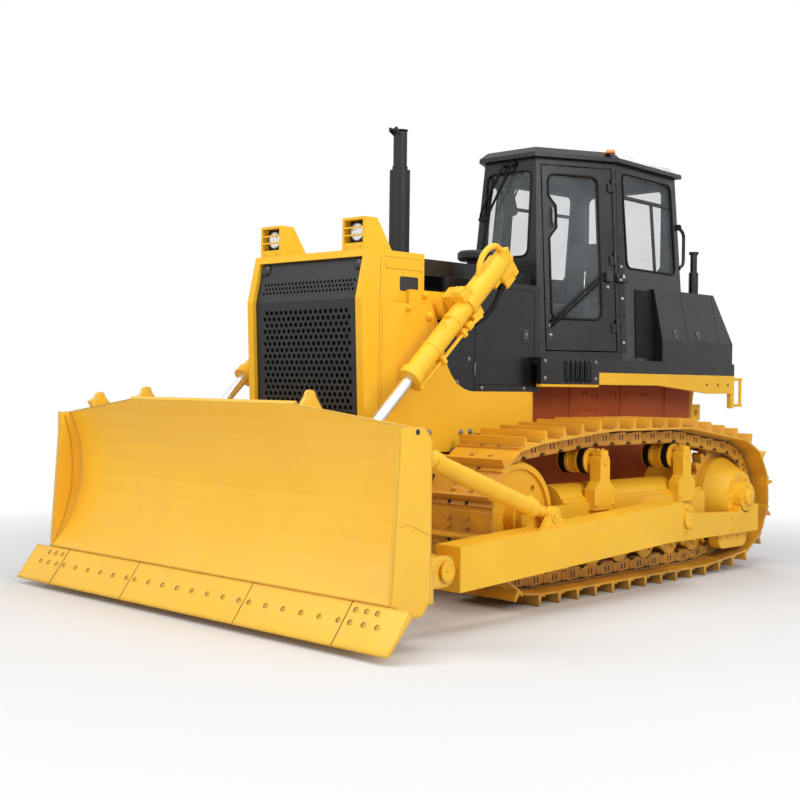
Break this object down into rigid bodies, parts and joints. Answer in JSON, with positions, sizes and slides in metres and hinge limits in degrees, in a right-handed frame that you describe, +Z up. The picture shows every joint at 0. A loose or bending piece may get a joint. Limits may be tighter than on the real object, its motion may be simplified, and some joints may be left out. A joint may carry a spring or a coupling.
{
  "type": "crawler bulldozer",
  "caption": "Crawler bulldozer with a straight blade on push arms, twin lift cylinders, a six-sided cab with swinging doors and a capped exhaust; the blade lifts and lowers.",
  "frame": {"origin": "on the ground, at the middle of the overall length and width", "axes": "+X forward to the blade, +Y to the operator's left, +Z up"},
  "size_m": [5.844, 3.725, 3.395],
  "materials": {
    "yellow_paint": "gloss enamel",
    "worn_yellow": "worn enamel",
    "black_paint": "satin enamel",
    "dark_steel": "dark cast iron",
    "rod_chrome": "polished",
    "window_glass": "clear",
    "lamp_glass": "clear",
    "seat_cover": "matt vinyl",
    "trim_plastic": "textured"
  },
  "bodies": {
    "chassis": {"main_frame": "worn_yellow", "engine_block": "dark_steel", "radiator_core": "dark_steel", "radiator_guard": "yellow_paint", "grille": "black_paint", "hood_rear": "black_paint", "side_plates": "yellow_paint", "cowl_panels": "black_paint", "lamp_cases": "yellow_paint", "lamp_lenses": "lamp_glass", "exhaust_stack": "black_paint", "precleaner": "black_paint", "deck": "black_paint", "deck_skirts": "yellow_paint", "step_plates": "black_paint", "side_boxes": "black_paint", "fuel_tank": "black_paint", "cab_frame": "black_paint", "cab_glass": "window_glass", "cab_roof": "black_paint", "seat": "seat_cover", "console": "trim_plastic", "track_left": "worn_yellow", "track_right": "worn_yellow", "sprockets": "worn_yellow", "idlers": "worn_yellow", "track_rollers": "worn_yellow", "carrier_rollers": "worn_yellow", "track_frames": "worn_yellow", "final_drives": "worn_yellow", "equalizer_bar": "worn_yellow", "lift_brackets": "yellow_paint", "drawbar": "worn_yellow"},
    "blade_group": {"push_arms": "yellow_paint", "braces": "yellow_paint", "blade": "yellow_paint", "cutting_edge": "worn_yellow"},
    "lift_barrel_left": {"lift_barrel_left": "yellow_paint"},
    "lift_barrel_right": {"lift_barrel_right": "yellow_paint"},
    "lift_rod_left": {"lift_rod_left": "rod_chrome"},
    "lift_rod_right": {"lift_rod_right": "rod_chrome"},
    "door_left": {"door_left": "black_paint", "door_glass_left": "window_glass"},
    "door_right": {"door_right": "black_paint", "door_glass_right": "window_glass"},
    "rain_cap": {"rain_cap": "black_paint"}
  },
  "joints": [
    {"name": "blade_lift", "type": "hinge", "parent": "chassis", "child": "blade_group", "pos_m": [-0.672, 0, 0.508], "axis": [0, -1, 0], "range_deg": [-9.2, 18.3]},
    {"name": "lift_barrel_left", "type": "hinge", "parent": "chassis", "child": "lift_barrel_left", "pos_m": [1.095, 0.83, 2.033], "axis": [0, -1, 0], "range_deg": [-12.71, 25.09]},
    {"name": "lift_rod_left", "type": "slide", "parent": "lift_barrel_left", "child": "lift_rod_left", "axis": [0.7385, 0, -0.6742], "range_m": [-0.7063, 0.3561]},
    {"name": "lift_barrel_right", "type": "hinge", "parent": "chassis", "child": "lift_barrel_right", "pos_m": [1.095, -0.83, 2.033], "axis": [0, -1, 0], "range_deg": [-12.71, 25.09]},
    {"name": "lift_rod_right", "type": "slide", "parent": "lift_barrel_right", "child": "lift_rod_right", "axis": [0.7385, 0, -0.6742], "range_m": [-0.7063, 0.3561]},
    {"name": "door_left", "type": "hinge", "parent": "chassis", "child": "door_left", "pos_m": [-0.9659, 0.69269, 1.77114], "axis": [-0.0386, -0.0796, 0.9961], "range_deg": [0, 85]},
    {"name": "door_right", "type": "hinge", "parent": "chassis", "child": "door_right", "pos_m": [-0.9659, -0.69269, 1.77114], "axis": [0.0386, -0.0796, -0.9961], "range_deg": [0, 85]},
    {"name": "rain_cap", "type": "hinge", "parent": "chassis", "child": "rain_cap", "pos_m": [0.961, 0, 3.357], "axis": [0, 1, 0], "range_deg": [0, 70]}
  ],
  "couplings": [
    {"joint": "lift_barrel_left", "follows": "blade_lift", "ratio": 1.36},
    {"joint": "lift_rod_left", "follows": "blade_lift", "m_per_rad": -2.205},
    {"joint": "lift_barrel_right", "follows": "blade_lift", "ratio": 1.36},
    {"joint": "lift_rod_right", "follows": "blade_lift", "m_per_rad": -2.205}
  ]
}
